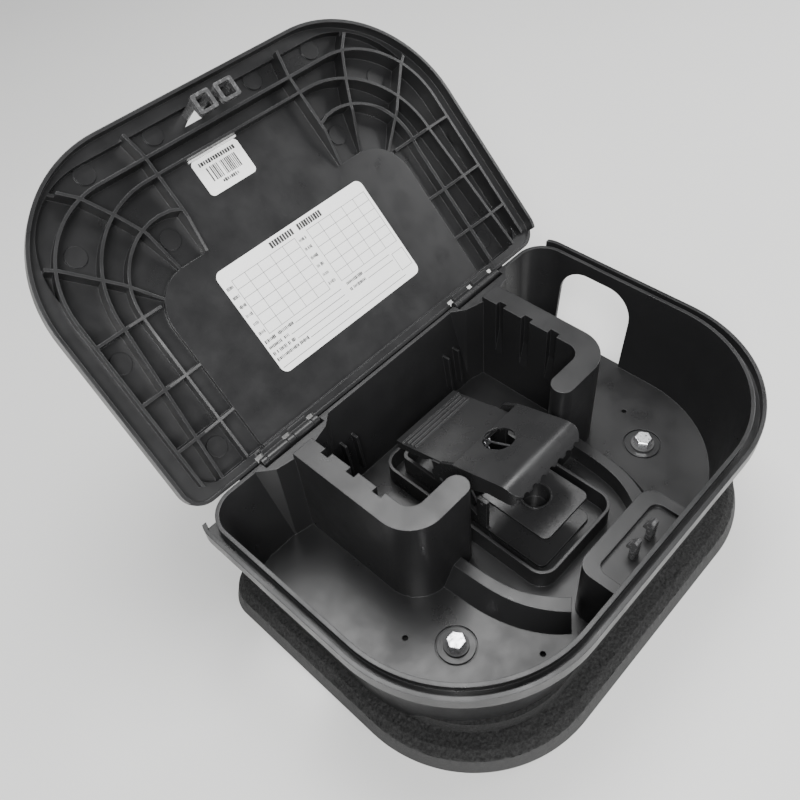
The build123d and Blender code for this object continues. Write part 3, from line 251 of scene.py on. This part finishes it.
def cast_stone(name, colour, band_top):
    """Dyed cast stone: open and grainy above the band, close and duller in it."""
    finish, tree, shader = new_finish(name, Specular_IOR_Level=0.35)
    place = part(tree, "ShaderNodeTexCoord").outputs["Object"]
    height = part(tree, "ShaderNodeSeparateXYZ", {"Vector": place}).outputs["Z"]
    waver = ramp(tree, grains(tree, place, 260.0), 0.0, 1.0, -0.0012, 0.0012)
    ragged = part(tree, "ShaderNodeMath", {0: height, 1: waver}, operation="ADD").outputs["Value"]
    rough = ramp(tree, ragged, band_top - 0.0006, band_top + 0.0006, 0.0, 1.0)
    speck = ramp(tree, grains(tree, place, 620.0, 5.0, 0.75), 0.35, 0.72, 0.0, 1.0)
    pits = part(tree, "ShaderNodeTexVoronoi", {"Vector": place, "Scale": 420.0}).outputs["Distance"]
    grainy = blended(tree, speck, shade(colour, 0.35), shade(colour, 3.2))
    close = blended(tree, grains(tree, place, 240.0, 4.0), shade(colour, 1.9), shade(colour, 3.1))
    tree.links.new(blended(tree, rough, close, grainy), shader.inputs["Base Color"])
    tree.links.new(ramp(tree, rough, 0.0, 1.0, 0.62, 0.80), shader.inputs["Roughness"])
    relief = part(tree, "ShaderNodeMath", {0: speck, 1: pits}, operation="ADD").outputs["Value"]
    deep = part(tree, "ShaderNodeMath", {0: relief, 1: ramp(tree, rough, 0.0, 1.0, 0.12, 1.0)}, operation="MULTIPLY")
    bump = part(tree, "ShaderNodeBump", {"Strength": 0.9, "Distance": 0.0012, "Height": deep.outputs["Value"]})
    tree.links.new(bump.outputs["Normal"], shader.inputs["Normal"])
    return finish


def plated_metal(name, colour, smooth, dull, scale, edge):
    """Bright metal with a blotchy plating and small dents."""
    finish, tree, shader = new_finish(name, Metallic=1.0)
    place = part(tree, "ShaderNodeTexCoord").outputs["Object"]
    rounded = part(tree, "ShaderNodeBevel", {"Radius": edge}, samples=4).outputs["Normal"]
    blotch = grains(tree, place, scale, 4.0)
    stain = ramp(tree, blotch, 0.56, 0.72, 0.0, 1.0)
    tree.links.new(blended(tree, stain, list(colour), shade(colour, 0.35)), shader.inputs["Base Color"])
    tree.links.new(ramp(tree, blotch, 0.3, 0.7, smooth, dull), shader.inputs["Roughness"])
    bump = part(tree, "ShaderNodeBump", {"Strength": 0.5, "Distance": 0.0002, "Height": blotch, "Normal": rounded})
    tree.links.new(bump.outputs["Normal"], shader.inputs["Normal"])
    return finish


def coated_card(name, colour):
    """White coated card with a little mottle and fibre."""
    finish, tree, shader = new_finish(name, Specular_IOR_Level=0.4)
    place = part(tree, "ShaderNodeTexCoord").outputs["Object"]
    tree.links.new(blended(tree, grains(tree, place, 90.0, 5.0), shade(colour, 0.93), shade(colour, 1.04)),
                   shader.inputs["Base Color"])
    tree.links.new(ramp(tree, grains(tree, place, 300.0), 0.3, 0.7, 0.42, 0.55), shader.inputs["Roughness"])
    bump = part(tree, "ShaderNodeBump", {"Strength": 0.2, "Distance": 0.00005, "Height": grains(tree, place, 2500.0)})
    tree.links.new(bump.outputs["Normal"], shader.inputs["Normal"])
    return finish


def printing_ink(name, colour):
    """Ink that lies a little unevenly."""
    finish, tree, shader = new_finish(name, Specular_IOR_Level=0.3)
    place = part(tree, "ShaderNodeTexCoord").outputs["Object"]
    tree.links.new(blended(tree, grains(tree, place, 1200.0, 2.0), list(colour), shade(colour, 2.2)),
                   shader.inputs["Base Color"])
    tree.links.new(ramp(tree, grains(tree, place, 700.0), 0.3, 0.7, 0.45, 0.65), shader.inputs["Roughness"])
    return finish


def dress(finish, *nodes):
    """The finish on whole CAD nodes."""
    for name in nodes:
        mesh = frame["nodes"][name].data
        if not mesh.materials:
            mesh.materials.append(finish)
        for k in range(len(mesh.materials)):
            mesh.materials[k] = finish


# ---------------------------------------------------------------- shapes

def new_piece(name, shape, finish=None):
    """A named object made from a bmesh, with its place in its mesh."""
    mesh = bpy.data.meshes.new(name)
    shape.to_mesh(mesh)
    shape.free()
    piece = bpy.data.objects.new(name, mesh)
    bpy.context.scene.collection.objects.link(piece)
    if finish is not None:
        mesh.materials.append(finish)
    return piece


def d_outline(half_x, front, rear, front_r, rear_r, step):
    """Points round a D-shaped plan, from the rear middle clockwise as seen from above."""
    points = []

    def run(start, end):
        count = max(1, round((Vector(end) - Vector(start)).length / step))
        points.extend(Vector(start).lerp(Vector(end), k / count) for k in range(count))

    def corner(x, y, radius, first):
        count = max(4, round(radius * pi / 2 / step))
        points.extend(Vector((x + radius * cos(radians(first) - pi / 2 * k / count),
                              y + radius * sin(radians(first) - pi / 2 * k / count))) for k in range(count))

    run((-half_x + rear_r, rear), (half_x - rear_r, rear))
    corner(half_x - rear_r, rear - rear_r, rear_r, 90)
    run((half_x, rear - rear_r), (half_x, front + front_r))
    corner(half_x - front_r, front + front_r, front_r, 0)
    run((half_x - front_r, front), (-half_x + front_r, front))
    corner(-half_x + front_r, front + front_r, front_r, -90)
    run((-half_x, front + front_r), (-half_x, rear - rear_r))
    corner(-half_x + rear_r, rear - rear_r, rear_r, 180)
    return points


def bridge_rings(shape, rings):
    """Closes a stack of equal rings into one skin, with a flat bottom and top."""
    for low, high in zip(rings, rings[1:]):
        for k in range(len(low)):
            n = (k + 1) % len(low)
            shape.faces.new((low[k], high[k], high[n], low[n]))
    shape.faces.new(rings[0])
    shape.faces.new(reversed(rings[-1]))


def outward(shape):
    """Merges doubles and turns the faces outwards."""
    bmesh.ops.remove_doubles(shape, verts=shape.verts, dist=1e-6)
    bmesh.ops.recalc_face_normals(shape, faces=shape.faces)


def side_of_spring(name, finish, point, away):
    """The part of the spring behind a plane, closed where it is cut."""
    node = frame["nodes"]["trap_spring"]
    shape = bmesh.new()
    shape.from_mesh(node.data)
    shape.transform(node.matrix_world)
    bmesh.ops.remove_doubles(shape, verts=shape.verts, dist=1e-6)
    bmesh.ops.bisect_plane(shape, geom=shape.verts[:] + shape.edges[:] + shape.faces[:], plane_co=point,
                           plane_no=away, clear_outer=True)
    bmesh.ops.holes_fill(shape, edges=[edge for edge in shape.edges if edge.is_boundary])
    outward(shape)
    piece = new_piece(name, shape, finish)
    smooth_by_angle(piece)
    return piece


def smooth_by_angle(piece, degrees=32.0):
    """Smooth shading that keeps the sharp edges sharp."""
    mesh = piece.data
    mesh.polygons.foreach_set("use_smooth", [True] * len(mesh.polygons))
    mesh.set_sharp_from_angle(angle=radians(degrees))


# ---------------------------------------------------------------- node trees

def geometry_tree(name, sockets):
    """An empty geometry tree with named inputs, its input node and its output node."""
    tree = bpy.data.node_groups.new(name, "GeometryNodeTree")
    tree.interface.new_socket("Geometry", in_out="OUTPUT", socket_type="NodeSocketGeometry")
    for label, kind in sockets:
        tree.interface.new_socket(label, in_out="INPUT", socket_type=kind)
    return tree, tree.nodes.new("NodeGroupInput"), tree.nodes.new("NodeGroupOutput")


def finish_tree(tree, given, out, pieces):
    """Joins the pieces, realises them and gives them their material."""
    joined = part(tree, "GeometryNodeJoinGeometry")
    for piece in pieces:
        tree.links.new(piece, joined.inputs[0])
    real = part(tree, "GeometryNodeRealizeInstances", {0: joined.outputs[0]})
    done = part(tree, "GeometryNodeSetMaterial", {0: real.outputs[0], "Material": given.outputs["Material"]})
    tree.links.new(done.outputs[0], out.inputs[0])


def divided(tree, first, second):
    """One number over another."""
    return part(tree, "ShaderNodeMath", {0: first, 1: second}, operation="DIVIDE").outputs[0]


def scaled(tree, first, second):
    """Two numbers multiplied."""
    return part(tree, "ShaderNodeMath", {0: first, 1: second}, operation="MULTIPLY").outputs[0]


def vector(tree, x=0.0, y=0.0, z=0.0):
    """A vector from numbers or sockets."""
    return part(tree, "ShaderNodeCombineXYZ", {0: x, 1: y, 2: z}).outputs[0]


def ruled_grid_tree():
    """Thin lines that rule a sheet into columns and rows, centred on the origin."""
    tree, given, out = geometry_tree("ruled_grid", [
        ("Width", "NodeSocketFloat"), ("Height", "NodeSocketFloat"), ("Columns", "NodeSocketInt"),
        ("Rows", "NodeSocketInt"), ("Line", "NodeSocketFloat"), ("Depth", "NodeSocketFloat"),
        ("Material", "NodeSocketMaterial")])
    width, height, line, depth = (given.outputs[key] for key in ("Width", "Height", "Line", "Depth"))
    lines = []
    for across, count, other in ((True, given.outputs["Columns"], height), (False, given.outputs["Rows"], width)):
        span = width if across else height
        step = divided(tree, span, count)
        start = scaled(tree, span, -0.5)
        many = part(tree, "ShaderNodeMath", {0: count, 1: 1.0}, operation="ADD").outputs[0]
        long = part(tree, "ShaderNodeMath", {0: other, 1: line}, operation="ADD").outputs[0]
        row = part(tree, "GeometryNodeMeshLine", {
            "Count": many, "Start Location": vector(tree, start) if across else vector(tree, 0.0, start),
            "Offset": vector(tree, step) if across else vector(tree, 0.0, step)})
        bar = part(tree, "GeometryNodeMeshCube", {
            "Size": vector(tree, line, long, depth) if across else vector(tree, long, line, depth)})
        lines.append(part(tree, "GeometryNodeInstanceOnPoints", {
            "Points": row.outputs["Mesh"], "Instance": bar.outputs["Mesh"]}).outputs["Instances"])
    finish_tree(tree, given, out, lines)
    return tree


def mark_row_tree():
    """A row of upright strokes of uneven width and spacing, from the origin to the right."""
    tree, given, out = geometry_tree("mark_row", [
        ("Length", "NodeSocketFloat"), ("Height", "NodeSocketFloat"), ("Strokes", "NodeSocketInt"),
        ("Fullness", "NodeSocketFloat"), ("Least Width", "NodeSocketFloat"), ("Least Height", "NodeSocketFloat"),
        ("Depth", "NodeSocketFloat"), ("Seed", "NodeSocketInt"), ("Material", "NodeSocketMaterial")])
    step = divided(tree, given.outputs["Length"], given.outputs["Strokes"])
    row = part(tree, "GeometryNodeMeshLine", {
        "Count": given.outputs["Strokes"], "Start Location": vector(tree, scaled(tree, step, 0.5)),
        "Offset": vector(tree, step)})
    bar = part(tree, "GeometryNodeMeshCube", {
        "Size": vector(tree, scaled(tree, step, 0.9), given.outputs["Height"], given.outputs["Depth"])})
    kept = part(tree, "FunctionNodeRandomValue", {"Probability": given.outputs["Fullness"],
                                                  "Seed": given.outputs["Seed"]}, data_type="BOOLEAN")
    size = part(tree, "FunctionNodeRandomValue", {
        0: vector(tree, given.outputs["Least Width"], given.outputs["Least Height"], 1.0), 1: (1.0, 1.0, 1.0),
        "Seed": given.outputs["Seed"]}, data_type="FLOAT_VECTOR")
    strokes = part(tree, "GeometryNodeInstanceOnPoints", {
        "Points": row.outputs["Mesh"], "Instance": bar.outputs["Mesh"], "Selection": kept.outputs[3],
        "Scale": size.outputs[0]})
    finish_tree(tree, given, out, [strokes.outputs["Instances"]])
    return tree


def grown(tree, values):
    """The plain mesh that a tree gives for these inputs."""
    holder = bpy.data.objects.new("holder", bpy.data.meshes.new("holder"))
    bpy.context.scene.collection.objects.link(holder)
    modifier = holder.modifiers.new("tree", "NODES")
    modifier.node_group = tree
    for item in tree.interface.items_tree:
        if item.in_out == "INPUT" and item.name in values:
            modifier[item.identifier] = values[item.name]
    holder.update_tag()
    bpy.context.view_layer.update()
    mesh = bpy.data.meshes.new_from_object(holder.evaluated_get(bpy.context.evaluated_depsgraph_get()))
    bpy.data.objects.remove(holder)
    return mesh


class Sheet:
    """Collects printed marks on one label and makes them a piece."""

    def __init__(self, node):
        low, high = (Vector(corner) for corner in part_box(node))
        turn = Matrix.Rotation(-LID_OPEN, 4, "X")
        flat = Matrix(((1, 0, 0, 0), (0, -1, 0, 0), (0, 0, -1, 0), (0, 0, 0, 1)))
        face = turn @ flat
        self.place = Matrix.Translation((low + high) / 2) @ face
        self.marks = bmesh.new()

    def put(self, mesh, x, y):
        """Marks from a tree, moved to their place on the sheet: x and y from its middle."""
        mesh.transform(self.place @ Matrix.Translation((x, y, SHEET_FACE)))
        self.marks.from_mesh(mesh)
        bpy.data.meshes.remove(mesh)


# ---------------------------------------------------------------- operators

class BAIT_OT_box(bpy.types.Operator):
    """Finish the tray and the lid in moulded black plastic"""
    bl_idname = "bait.box"
    bl_label = "Tray and lid"

    def execute(self, context):
        colours, sizes = setting()
        dress(moulded_plastic("box_plastic", colours.box, 0.33, sizes.edge_round, 0.5), "base_tray", "lid")
        return {"FINISHED"}


class BAIT_OT_hardware(bpy.types.Operator):
    """Finish the screws, washers, pins, lock hooks and catches"""
    bl_idname = "bait.hardware"
    bl_label = "Hardware"

    def execute(self, context):
        colours, sizes = setting()
        dress(plated_metal("bright_zinc", colours.zinc, 0.22, 0.42, 420.0, 0.0006), "anchor_screws")
        dress(moulded_plastic("washer_rubber", colours.latch, 0.62, 0.0004, 0.2), "anchor_washers")
        # hinge pins in steel darkened as painted shade, standing in for the shadow in the gaps between the knuckles
        dress(plated_metal("steel_with_painted_shade", colours.shaded_pin_steel, 0.38, 0.55, 600.0, 0.0002), "hinge_pin_left",
              "hinge_pin_right")
        dress(grained_plastic("latch_plastic", colours.latch, 0.0006), "lock_hook_left", "lock_hook_right",
              "lid_catch_left", "lid_catch_right")
        return {"FINISHED"}


class BAIT_OT_weight_block(bpy.types.Operator):
    """Build the cast stone block with its close band and its rough shoulder"""
    bl_idname = "bait.weight_block"
    bl_label = "Weight block"

    def execute(self, context):
        colours, sizes = setting()
        low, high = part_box("weight_block")
        band, shoulder = low[2] + BAND_H, low[2] + SHOULDER_H
        foot = [(0.6 * MM, low[2]), (0.0, low[2] + 0.6 * MM)]
        side = [(1.5 * MM, low[2] + 5.2 * MM), (2.9 * MM, band - 0.3 * MM)]
        rise = [(BAND_LEAN + SHOULDER_LEAN * k / RISE_STEPS, band + (shoulder - band) * k / RISE_STEPS)
                for k in range(RISE_STEPS + 1)]
        start = BAND_LEAN + SHOULDER_LEAN
        ledge = [(start + (LEDGE_END - start) * k / LEDGE_STEPS, shoulder) for k in range(1, LEDGE_STEPS + 1)]
        rows = foot + side + [(inset * MM, z) for inset, z in rise + ledge] + [(PLUG_INSET * MM, high[2])]
        shape = bmesh.new()
        rings = []
        for inset, z in rows:
            ring = []
            for x, y in d_outline(high[0], low[1], high[1], BLOCK_FRONT_R, BLOCK_REAR_R, sizes.stone_step):
                inner_x = high[0] - BLOCK_FRONT_R
                inner_y = max(low[1] + BLOCK_FRONT_R, min(high[1] - BLOCK_REAR_R, y))
                core = Vector((max(-inner_x, min(inner_x, x)), inner_y))
                away = (Vector((x, y)) - core).normalized()
                spot = Vector((x - away.x * inset, y - away.y * inset, z))
                if z >= band and inset < ROUGH_END:
                    coarse = noise.fractal(spot * GRAIN_WAVES, 0.8, 2.1, 4)
                    lump = noise.noise(spot * LUMP_WAVES)
                    push = sizes.stone_relief * (0.75 * coarse + 0.35 * lump - 0.15)
                    spot += Vector((away.x * 0.55, away.y * 0.55, 0.85)) * push
                elif inset > 0.0:
                    spot.z += 0.5 * MM * noise.noise(spot * 300.0) * (1.0 if z > low[2] + 4.0 * MM else 0.0)
                ring.append(shape.verts.new(spot))
            rings.append(ring)
        bridge_rings(shape, rings)
        outward(shape)
        piece = new_piece("weight_block_cast", shape, cast_stone("cast_stone", colours.stone, band))
        smooth_by_angle(piece, 50.0)
        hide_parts("weight_block")
        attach(piece, "base")
        return {"FINISHED"}


class BAIT_OT_labels(bpy.types.Operator):
    """Print the record card and the small label with ruled lines and plain strokes"""
    bl_idname = "bait.labels"
    bl_label = "Record card and label"

    def execute(self, context):
        colours, sizes = setting()
        dress(coated_card("coated_card", colours.card), "record_card", "small_label", "label_tab")
        ink = printing_ink("dark_ink", colours.ink)
        rule = printing_ink("ruling_ink", colours.ruling)
        grid, row = ruled_grid_tree(), mark_row_tree()
        depth = sizes.ink_depth

        def ruling(sheet, x, y, width, height, columns, rows):
            sheet.put(grown(grid, {"Width": width * MM, "Height": height * MM, "Columns": columns, "Rows": rows,
                                   "Line": sizes.rule_width, "Depth": depth, "Material": rule}), x * MM, y * MM)

        def strokes(sheet, x, y, length, height, count, seed, fullness=0.85, least=(0.35, 0.6)):
            sheet.put(grown(row, {"Length": length * MM, "Height": height * MM, "Strokes": count, "Seed": seed,
                                  "Fullness": fullness, "Least Width": least[0], "Least Height": least[1],
                                  "Depth": depth, "Material": ink}), x * MM, y * MM)

        card = {"rules": Sheet("record_card"), "marks": Sheet("record_card")}
        label = Sheet("small_label")
        rules, marks = card["rules"], card["marks"]
        ruling(rules, -29.5, 8.8, 53.5, 40.2, 5, 6)
        ruling(rules, 34.75, 8.8, 53.5, 40.2, 5, 6)
        ruling(rules, 57.0, -23.5, 10.0, 13.0, 1, 1)
        strokes(marks, -20.5, 33.5, 20.0, 4.5, 9, 3, 1.0, (0.7, 0.95))
        strokes(marks, 3.5, 33.5, 21.0, 4.5, 10, 4, 1.0, (0.7, 0.95))
        for k in range(6):
            y = 25.6 - 6.7 * k
            strokes(marks, -62.6, y, 5.2, 2.4, 6, 11 + k, 0.95)
            strokes(marks, -1.2, y, 6.0, 2.4, 7, 31 + k, 0.95)
        for k, (words, end) in enumerate(((24.0, 4.0), (17.0, 4.0), (19.0, 4.0), (27.0, 50.0))):
            y = -14.5 - 4.5 * k
            start = words - 61.0
            strokes(marks, -62.5, y, words, 2.5, int(words * 0.95), 51 + k, 0.9)
            ruling(rules, (start + end) / 2, y - 1.0, end - start, 0.0, 1, 1)
        ruling(rules, -5.0, -34.0, 114.0, 0.0, 1, 1)
        for k in range(2):
            strokes(marks, 9.5, -15.0 - 4.5 * k, 15.0, 2.5, 14, 71 + k, 0.9)
            ruling(rules, 38.0, -16.0 - 4.5 * k, 24.0, 0.0, 1, 1)
        strokes(label, -14.5, 8.2, 29.0, 2.8, 15, 5, 0.95, (0.6, 0.85))
        strokes(label, -11.5, 0.2, 23.5, 9.5, 18, 9, 0.85, (0.3, 1.0))
        strokes(label, -6.0, -7.0, 13.0, 2.4, 8, 13, 0.95)
        for name, sheet, finish in (("record_card_ruling", rules, rule), ("record_card_print", marks, ink),
                                    ("small_label_print", label, ink)):
            piece = new_piece(name, sheet.marks, finish)
            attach(piece, "lid")
        return {"FINISHED"}


class BAIT_OT_snap_trap(bpy.types.Operator):
    """Finish the snap trap and part its spring into coils that turn with the jaw and legs that stay"""
    bl_idname = "bait.snap_trap"
    bl_label = "Snap trap"

    def execute(self, context):
        colours, sizes = setting()
        finish = moulded_plastic("trap_plastic", colours.trap, 0.28, 0.0006, 0.45, 0.7)
        dress(finish, "trap_base", "trap_pedal", "trigger_plate", "bait_cup", "trap_jaw")
        steel = plated_metal("spring_steel", colours.steel, 0.30, 0.50, 600.0, 0.0002)
        dress(steel, "trap_pin", "trigger_pin", "trap_spring")
        # the coils wind up with the jaw, and the legs stay on the trap's base
        cut = JAW_PIVOT + LEG_WAY * LEG_START
        coils = side_of_spring("trap_spring_coils", steel, cut, LEG_WAY)
        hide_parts("trap_spring")
        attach(coils, "jaw")
        legs = side_of_spring("trap_spring_legs", steel, cut, -LEG_WAY)
        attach(legs, "base")
        return {"FINISHED"}


class BAIT_OT_stage(bpy.types.Operator):
    """Set the pale floor, the soft studio lights and the camera"""
    bl_idname = "bait.stage"
    bl_label = "Stage"

    def execute(self, context):
        colours, sizes = setting()
        shape = bmesh.new()
        bmesh.ops.create_grid(shape, x_segments=2, y_segments=2, size=FLOOR_HALF)
        finish, tree, shader = new_finish("pale_floor", Roughness=0.75)
        place = part(tree, "ShaderNodeTexCoord").outputs["Object"]
        mottle = blended(tree, grains(tree, place, 3.0), shade(colours.floor, 0.97), shade(colours.floor, 1.02))
        tree.links.new(mottle, shader.inputs["Base Color"])
        floor = new_piece("floor", shape, finish)
        for name, spot, size, power in LAMPS:
            light = bpy.data.lights.new(name, "AREA")
            light.size = size
            light.energy = power
            lamp = bpy.data.objects.new(name, light)
            lamp.location = spot
            lamp.rotation_euler = (LAMP_AIM - Vector(spot)).to_track_quat("-Z", "Y").to_euler()
            context.scene.collection.objects.link(lamp)
        world = bpy.data.worlds.new("studio")
        world.use_nodes = True
        world.node_tree.nodes["Background"].inputs["Color"].default_value = WORLD_COLOUR
        world.node_tree.nodes["Background"].inputs["Strength"].default_value = WORLD_STRENGTH
        context.scene.world = world
        back = Vector((sin(CAMERA_AZIMUTH) * cos(CAMERA_HEIGHT), -cos(CAMERA_AZIMUTH) * cos(CAMERA_HEIGHT),
                       sin(CAMERA_HEIGHT)))
        level = (-back).cross(Vector((0, 0, 1))).normalized()
        upright = level.cross(-back)
        right = level * cos(CAMERA_ROLL) + upright * sin(CAMERA_ROLL)
        up = upright * cos(CAMERA_ROLL) - level * sin(CAMERA_ROLL)
        camera = bpy.data.objects.new("camera", bpy.data.cameras.new("camera"))
        camera.data.lens = CAMERA_LENS
        camera.data.sensor_width = 36.0
        turn = Matrix((right, up, back)).transposed().to_4x4()
        camera.matrix_world = Matrix.Translation(CAMERA_TARGET + back * CAMERA_DISTANCE) @ turn
        context.scene.collection.objects.link(camera)
        context.scene.camera = camera
        return {"FINISHED"}


class BAIT_PT_station(bpy.types.Panel):
    """Lists the steps that dress the bait station"""
    bl_idname = "BAIT_PT_station"
    bl_label = "Bait Station"
    bl_space_type = "VIEW_3D"
    bl_region_type = "UI"
    bl_category = "Bait Station"

    def draw(self, context):
        column = self.layout.column()
        for operator in OPERATORS:
            column.operator(operator.bl_idname)
        for group in (context.scene.station_colours, context.scene.station_sizes):
            for key in group.__annotations__:
                column.prop(group, key)


OPERATORS = (BAIT_OT_stage, BAIT_OT_box, BAIT_OT_hardware, BAIT_OT_weight_block, BAIT_OT_labels, BAIT_OT_snap_trap)
CLASSES = (StationColours, StationSizes) + OPERATORS + (BAIT_PT_station,)


def register():
    for kind in CLASSES:
        bpy.utils.register_class(kind)
    bpy.types.Scene.station_colours = bpy.props.PointerProperty(type=StationColours)
    bpy.types.Scene.station_sizes = bpy.props.PointerProperty(type=StationSizes)


def unregister():
    del bpy.types.Scene.station_sizes
    del bpy.types.Scene.station_colours
    for kind in reversed(CLASSES):
        bpy.utils.unregister_class(kind)


def main():
    """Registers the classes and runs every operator."""
    register()
    for operator in OPERATORS:
        if getattr(bpy.ops.bait, operator.bl_idname.split(".")[1])() != {"FINISHED"}:
            raise RuntimeError("the step " + operator.bl_label + " did not finish")


if __name__ == "__main__":
    main()
